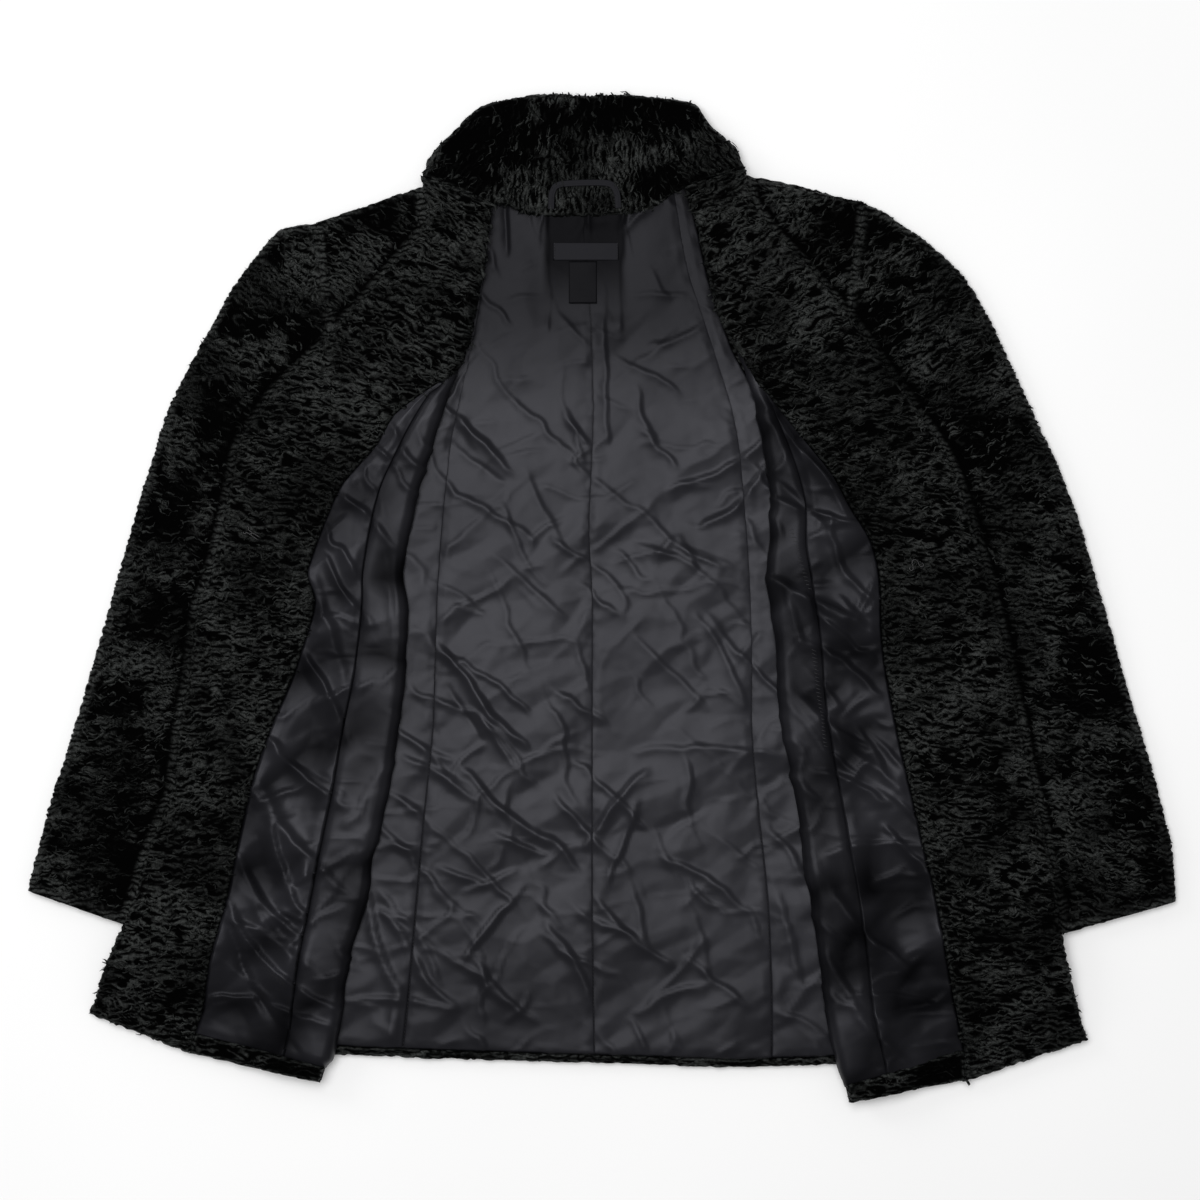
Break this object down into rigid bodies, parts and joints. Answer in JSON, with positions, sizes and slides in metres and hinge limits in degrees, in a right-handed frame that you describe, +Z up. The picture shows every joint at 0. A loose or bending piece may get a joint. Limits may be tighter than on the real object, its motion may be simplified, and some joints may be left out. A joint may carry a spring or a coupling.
{
  "type": "faux fur coat",
  "caption": "Hip-length black faux fur coat laid open on its back: stand collar, long sleeves, folded-back fronts, satin lining and bare neck labels.",
  "frame": {"origin": "middle of the laid-out coat, on the surface that it lies on", "axes": "+X across the coat, to the right in the picture; +Y from hem to collar; +Z up from the surface, from the fur back to the open lining"},
  "size_m": [1.0055, 0.8857, 0.0305],
  "materials": {
    "fur_pile": "curled faux fur pile, near black, with a soft sheen on its ridges",
    "satin_lining": "woven satin lining, dark blue-black, creased, low gloss",
    "label_tape": "bare woven label tape, black",
    "hook_wire": "black lacquered wire, glossy"
  },
  "bodies": {
    "root": {"collar_under": "fur_pile", "collar_upper": "fur_pile", "facing_left": "fur_pile", "facing_right": "fur_pile", "fur_eye": "hook_wire", "fur_hook": "hook_wire", "hang_loop": "satin_lining", "hem_back": "fur_pile", "hem_front_left": "fur_pile", "hem_front_right": "fur_pile", "label_care": "label_tape", "label_neck": "label_tape", "lining_back_left": "satin_lining", "lining_back_right": "satin_lining", "lining_front_left": "satin_lining", "lining_front_right": "satin_lining", "lining_side_back_left": "satin_lining", "lining_side_back_right": "satin_lining", "lining_side_left": "satin_lining", "lining_side_right": "satin_lining", "shell_back": "fur_pile", "shell_front_left": "fur_pile", "shell_front_right": "fur_pile", "sleeve_left": "fur_pile", "sleeve_right": "fur_pile"}
  },
  "joints": []
}
